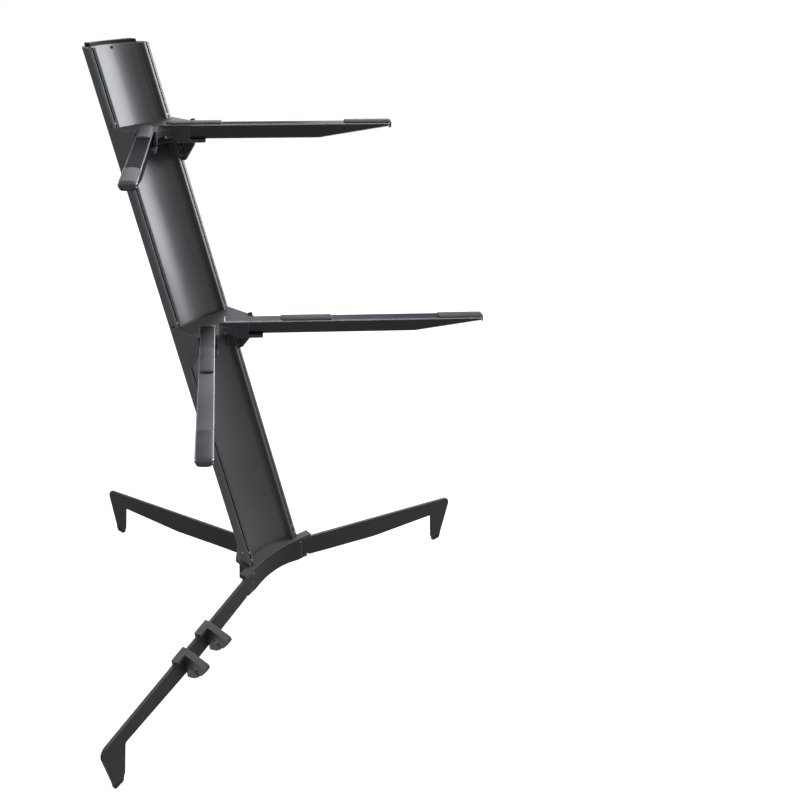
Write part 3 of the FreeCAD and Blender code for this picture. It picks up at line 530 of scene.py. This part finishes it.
def pad_surface(run, drop, height, shape):
    """A crowned strip: the closed section half-width * |cos|^0.4 by thickness * |sin|^0.4, flat
    below, carried along the pad's line. Both ends are rolled down by a quarter of a superellipse,
    and narrowed by a quarter circle, which rounds the four corners."""
    along, level, out_along, out_up = pad_line(run, drop, shape.lip, shape.fold)
    steps = np.hypot(np.diff(along), np.diff(level))
    walked = np.concatenate([[0.0], np.cumsum(steps)])
    to_end = np.minimum(walked, walked[-1] - walked)
    missing = 1.0 - np.clip(to_end / shape.roll, 0.0, 1.0)
    roll = (1.0 - ROLL_SHARE * missing ** ROLL_POWER) ** (1.0 / ROLL_POWER)
    thick = height + (shape.lip - height) * out_along
    into_corner = np.clip(shape.corner - to_end, 0.0, shape.corner)
    half = shape.width / 2 - shape.corner + np.sqrt(shape.corner ** 2 - into_corner ** 2)

    turn = np.linspace(0.0, 2.0 * pi, SECTION_POINTS, endpoint=False)
    across = np.sign(np.cos(turn)) * np.abs(np.cos(turn)) ** SECTION_POWER
    lift = np.clip(np.sin(turn), 0.0, None) ** SECTION_POWER
    fall = shape.crown / height * across ** 2

    out = (thick * roll)[:, None] * (lift * (1.0 - fall))[None, :]
    return (along[:, None] + out * out_along[:, None],
            half[:, None] * across[None, :],
            level[:, None] + out * out_up[:, None])


def ring_faces(rings, points):
    """Quads that join closed rings of points, and one flat face on each end ring."""
    ring = np.arange(rings - 1)[:, None] * points
    step = np.arange(points)[None, :]
    after = (np.arange(points) + 1)[None, :] % points
    quads = np.stack([ring + step, ring + points + step, ring + points + after, ring + after], -1)
    first = list(range(points))
    last = list(range((rings - 1) * points, rings * points))
    return quads.reshape(-1, 4).tolist() + [first, last[::-1]]


def make_pad(name, node, side, run, drop, height, shape, finish):
    """Makes one pad's mesh where its CAD solid lies on the arm."""
    low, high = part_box(node)
    along, across, up = pad_surface(run, drop, height, shape)
    middle = (low + high) / 2
    top = high.z - height
    points = np.stack([middle.x + side * ARM_PLAN * (along - side * across),
                       middle.y - ARM_PLAN * (along + side * across),
                       top + up], -1)
    mesh = bpy.data.meshes.new(name)
    mesh.from_pydata(points.reshape(-1, 3).tolist(), [], ring_faces(*points.shape[:2]))
    mesh.polygons.foreach_set("use_smooth", np.ones(len(mesh.polygons), dtype=bool))
    mesh.materials.append(finish)
    mesh.update()
    made = bpy.data.objects.new(name, mesh)
    bpy.context.collection.objects.link(made)
    return made


# ---------------------------------------------------------------- operators

class FinishColumn(bpy.types.Operator):
    """Gives the column and its tongues the anodised skin"""

    bl_idname = "stand.finish_column"
    bl_label = "Finish Column"

    def execute(self, context):
        look = context.scene.stand_column
        skin, shader = extruded_finish("anodised_column", look, (-COLUMN_LEAN, 0.0, 0.0))
        shader.inputs["Specular IOR Level"].default_value = look.gloss
        shader.inputs["Metallic"].default_value = look.metal
        shader.inputs["Specular Tint"].default_value = [look.edge] * 3 + [1.0]
        # Rougher rails, and painted light on the trough walls
        roughen_rails_paint_wall_light(skin, look.rail_roughness, look.painted_wall_light)
        # Painted highlights along the edges
        paint_edge_highlights(skin, look.edge_highlight_tint, look.edge_highlight_width)
        paint(["column_extrusion", "rail_tongues"], skin)
        return {"FINISHED"}


class FinishCastings(bpy.types.Operator):
    """Gives the tier brackets their textured coat"""

    bl_idname = "stand.finish_castings"
    bl_label = "Finish Castings"

    def execute(self, context):
        look = context.scene.stand_casting
        skin = coat("cast_coat", look.tint, look.roughness, look.gloss, look.peel_size,
                    CAST_PEEL_DEPTH)
        # Painted light on the cheeks
        paint_cheek_light(skin, look.painted_cheek_light)
        # Painted highlights along the edges
        paint_edge_highlights(skin, look.edge_highlight_tint, look.edge_highlight_width)
        paint([f"{tier}_bracket" for tier in TIERS], skin)
        return {"FINISHED"}


class FinishArms(bpy.types.Operator):
    """Gives the arm bars their satin skin, with its lines along each arm"""

    bl_idname = "stand.finish_arms"
    bl_label = "Finish Arms"

    def execute(self, context):
        look = context.scene.stand_arm
        for side_name, side in SIDES.items():
            turn = (pi / 2, 0.0, side * ARM_TURN)
            skin, shader = extruded_finish(f"anodised_{side_name}_arm", look, turn)
            shader.inputs["Metallic"].default_value = 1.0
            shader.inputs["Specular Tint"].default_value = [look.edge] * 3 + [1.0]
            # Painted shade on the sides and undersides
            paint_side_shade(skin, look.painted_side_shade)
            # Painted highlights along the edges
            paint_edge_highlights(skin, look.edge_highlight_tint, look.edge_highlight_width)
            paint([f"{tier}_{side_name}_arm" for tier in TIERS], skin)
        return {"FINISHED"}


class FinishLegs(bpy.types.Operator):
    """Gives the hub, its hinge pins and the three legs their matt coat"""

    bl_idname = "stand.finish_legs"
    bl_label = "Finish Legs"

    def execute(self, context):
        look = context.scene.stand_leg
        skin = coat("leg_coat", look.tint, look.roughness, look.gloss, look.peel_size,
                    LEG_PEEL_DEPTH)
        # Painted shade on the sides and undersides
        paint_side_shade(skin, look.painted_side_shade)
        # Painted highlights along the edges
        paint_edge_highlights(skin, look.edge_highlight_tint, look.edge_highlight_width)
        paint(["base_hub", "leg_hinge_pins", "left_leg", "right_leg", "rear_leg"], skin)
        return {"FINISHED"}


class FinishPlastics(bpy.types.Operator):
    """Gives the top cap and the leg clips their moulded grain"""

    bl_idname = "stand.finish_plastics"
    bl_label = "Finish Plastics"

    def execute(self, context):
        look = context.scene.stand_plastic
        skin = coat("clip_plastic", look.tint, look.roughness, look.gloss, look.grain_size,
                    MOULD_DEPTH)
        # Painted shade on the sides and undersides
        paint_side_shade(skin, look.painted_side_shade)
        # Painted highlights along the edges
        paint_edge_highlights(skin, look.edge_highlight_tint, look.edge_highlight_width)
        paint(["inner_leg_clip", "outer_leg_clip"], skin)
        skin = coat("cap_plastic", look.cap_tint, look.roughness, look.cap_gloss, look.grain_size,
                    MOULD_DEPTH)
        paint(["column_top_cap"], skin)
        return {"FINISHED"}


class FinishFasteners(bpy.types.Operator):
    """Gives the screws, bolts and slide nuts their dull steel, and the cap screw its black"""

    bl_idname = "stand.finish_fasteners"
    bl_label = "Finish Fasteners"

    def execute(self, context):
        look = context.scene.stand_fastener
        skin = fastener_finish("dull_steel", look)
        black = coat("black_screw", look.cap_tint, roughness=0.5, gloss=0.1, grain=0.0008,
                     depth=STEEL_DEPTH)
        paint(["cap_screw"], black)
        paint(["column_screws", "pin_set_screws", "rear_leg_bolts"], skin)
        paint([f"{tier}_{kind}" for tier in TIERS
               for kind in ("arm_screws", "clamp_screws", "slide_nuts")], skin)
        return {"FINISHED"}


class FinishFeet(bpy.types.Operator):
    """Gives the foot tips their rubber"""

    bl_idname = "stand.finish_feet"
    bl_label = "Finish Feet"

    def execute(self, context):
        look = context.scene.stand_rubber
        skin = coat("foot_rubber", look.foot_tint, look.roughness, look.gloss, look.grain_size,
                    RUBBER_DEPTH, RUBBER_SHADES)
        paint(["left_foot_tip", "right_foot_tip", "rear_foot_tip"], skin)
        return {"FINISHED"}


class MakePads(bpy.types.Operator):
    """Makes the eight rubber pads on the arms"""

    bl_idname = "stand.make_pads"
    bl_label = "Make Pads"

    def execute(self, context):
        look = context.scene.stand_rubber
        shape = context.scene.stand_pad
        skin = coat("pad_rubber", look.pad_tint, look.roughness, look.gloss, look.grain_size,
                    RUBBER_DEPTH, RUBBER_SHADES)
        # Painted highlights on the pads' rims
        paint_rim_highlights(skin, look.rim_highlight)
        for tier in TIERS:
            for side_name, side in SIDES.items():
                low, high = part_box(f"{tier}_{side_name}_inner_pad")
                height = high.z - low.z
                for place in ("inner", "outer"):
                    node = f"{tier}_{side_name}_{place}_pad"
                    low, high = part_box(node)
                    run = (high.x - low.x) * sqrt(2.0) - shape.width
                    drop = high.z - low.z - height if place == "outer" else 0.0
                    pad = make_pad(f"{node}_rubber", node, side, run, drop, height, shape, skin)
                    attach(pad, f"{tier}_tier")
                    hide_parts(node)
        return {"FINISHED"}


class MakeStage(bpy.types.Operator):
    """Makes the white floor, the lamps, the room and the camera"""

    bl_idname = "stand.make_stage"
    bl_label = "Make Stage"

    def execute(self, context):
        studio = context.scene.stand_studio
        make_floor(studio)
        make_room(studio)
        for name, (place, size, setting) in LAMPS.items():
            make_lamp(name, place, size, getattr(studio, setting))
        make_camera(studio)
        context.scene.view_settings.view_transform = "Standard"
        return {"FINISHED"}


# ---------------------------------------------------------------- stage

def seen_directly(tree):
    """One for rays from the camera, a mirror or glass, and nothing for light that only bounces."""
    path = tree.nodes.new("ShaderNodeLightPath").outputs
    seen = path["Is Camera Ray"]
    for also in ("Is Glossy Ray", "Is Transmission Ray"):
        seen = calculate(tree, "MAXIMUM", seen, path[also])
    return seen


def make_floor(studio):
    """A white square that shows white and keeps a faint shadow."""
    reach = studio.floor_reach
    mesh = bpy.data.meshes.new("floor")
    corners = [(-reach, -reach, 0.0), (reach, -reach, 0.0),
               (reach, reach, 0.0), (-reach, reach, 0.0)]
    mesh.from_pydata(corners, [], [(0, 1, 2, 3)])
    white, tree, shader = start_material("floor_white")
    tree.nodes.remove(shader)
    matt = tree.nodes.new("ShaderNodeBsdfDiffuse")
    matt.inputs["Color"].default_value = [FLOOR_BOUNCE] * 3 + [1.0]
    faint = tree.nodes.new("ShaderNodeBsdfDiffuse")
    faint.inputs["Color"].default_value = [FLOOR_SEEN] * 3 + [1.0]
    glow = tree.nodes.new("ShaderNodeEmission")
    glow.inputs["Strength"].default_value = FLOOR_GLOW
    both = tree.nodes.new("ShaderNodeAddShader")
    tree.links.new(faint.outputs["BSDF"], both.inputs[0])
    tree.links.new(glow.outputs["Emission"], both.inputs[1])
    choice = tree.nodes.new("ShaderNodeMixShader")
    tree.links.new(seen_directly(tree), choice.inputs["Fac"])
    tree.links.new(matt.outputs["BSDF"], choice.inputs[1])
    tree.links.new(both.outputs["Shader"], choice.inputs[2])
    tree.links.new(choice.outputs["Shader"], tree.nodes["Material Output"].inputs["Surface"])
    mesh.materials.append(white)
    floor = bpy.data.objects.new("floor", mesh)
    bpy.context.collection.objects.link(floor)


def make_room(studio):
    """A world that looks white and gives a weaker even light."""
    room = bpy.data.worlds.new("white_room")
    room.use_nodes = True
    tree = room.node_tree
    back = tree.nodes["Background"]
    back.inputs["Color"].default_value = (1.0, 1.0, 1.0, 1.0)
    strength = map_range(tree, seen_directly(tree), (0.0, 1.0), (studio.room_light, 1.0))
    tree.links.new(strength, back.inputs["Strength"])
    bpy.context.scene.world = room


def make_lamp(name, place, size, watts):
    """A soft rectangular lamp that faces the stand."""
    data = bpy.data.lights.new(name, "AREA")
    data.shape = "RECTANGLE"
    data.size, data.size_y = size
    data.energy = watts
    lamp = bpy.data.objects.new(name, data)
    lamp.location = place
    aim = Vector(LAMP_TARGET) - lamp.location
    lamp.rotation_euler = aim.to_track_quat("-Z", "Y").to_euler()
    bpy.context.collection.objects.link(lamp)


def make_camera(studio):
    """The camera at the viewing angle, with the frame shifted so the stand sits to the left."""
    data = bpy.data.cameras.new("camera")
    data.lens = studio.camera_lens
    data.shift_x = studio.shift_across
    data.shift_y = studio.shift_up
    camera = bpy.data.objects.new("camera", data)
    camera.location = studio.camera_place
    camera.rotation_euler = Vector(studio.camera_look).to_track_quat("-Z", "Y").to_euler()
    bpy.context.collection.objects.link(camera)
    bpy.context.scene.camera = camera


# ---------------------------------------------------------------- panel and start

class StandPanel(bpy.types.Panel):
    """Lists the stand's settings and steps"""

    bl_idname = "VIEW3D_PT_stand"
    bl_label = "Keyboard Stand"
    bl_space_type = "VIEW_3D"
    bl_region_type = "UI"
    bl_category = "Stand"

    def draw(self, context):
        for step in STEPS:
            self.layout.operator(step.bl_idname)
        for name, group in SETTINGS.items():
            box = self.layout.box()
            box.label(text=group.__doc__)
            held = getattr(context.scene, name)
            for setting in group.__annotations__:
                box.prop(held, setting)


SETTINGS = {
    "stand_column": ColumnFinish,
    "stand_casting": CastingFinish,
    "stand_arm": ArmFinish,
    "stand_leg": LegFinish,
    "stand_plastic": PlasticFinish,
    "stand_fastener": FastenerFinish,
    "stand_rubber": RubberFinish,
    "stand_pad": PadShape,
    "stand_studio": StudioSettings,
}

STEPS = (FinishColumn, FinishCastings, FinishArms, FinishLegs, FinishPlastics, FinishFasteners,
         FinishFeet, MakePads, MakeStage)


def register():
    """Registers the settings, the steps and the panel."""
    for name, group in SETTINGS.items():
        bpy.utils.register_class(group)
        setattr(bpy.types.Scene, name, PointerProperty(type=group))
    for step in STEPS:
        bpy.utils.register_class(step)
    bpy.utils.register_class(StandPanel)


def unregister():
    """Takes out what register put in."""
    bpy.utils.unregister_class(StandPanel)
    for step in reversed(STEPS):
        bpy.utils.unregister_class(step)
    for name, group in reversed(SETTINGS.items()):
        delattr(bpy.types.Scene, name)
        bpy.utils.unregister_class(group)


def main():
    """Runs every step in order."""
    register()
    bpy.ops.stand.finish_column()
    bpy.ops.stand.finish_castings()
    bpy.ops.stand.finish_arms()
    bpy.ops.stand.finish_legs()
    bpy.ops.stand.finish_plastics()
    bpy.ops.stand.finish_fasteners()
    bpy.ops.stand.finish_feet()
    bpy.ops.stand.make_pads()
    bpy.ops.stand.make_stage()


if __name__ == "__main__":
    main()
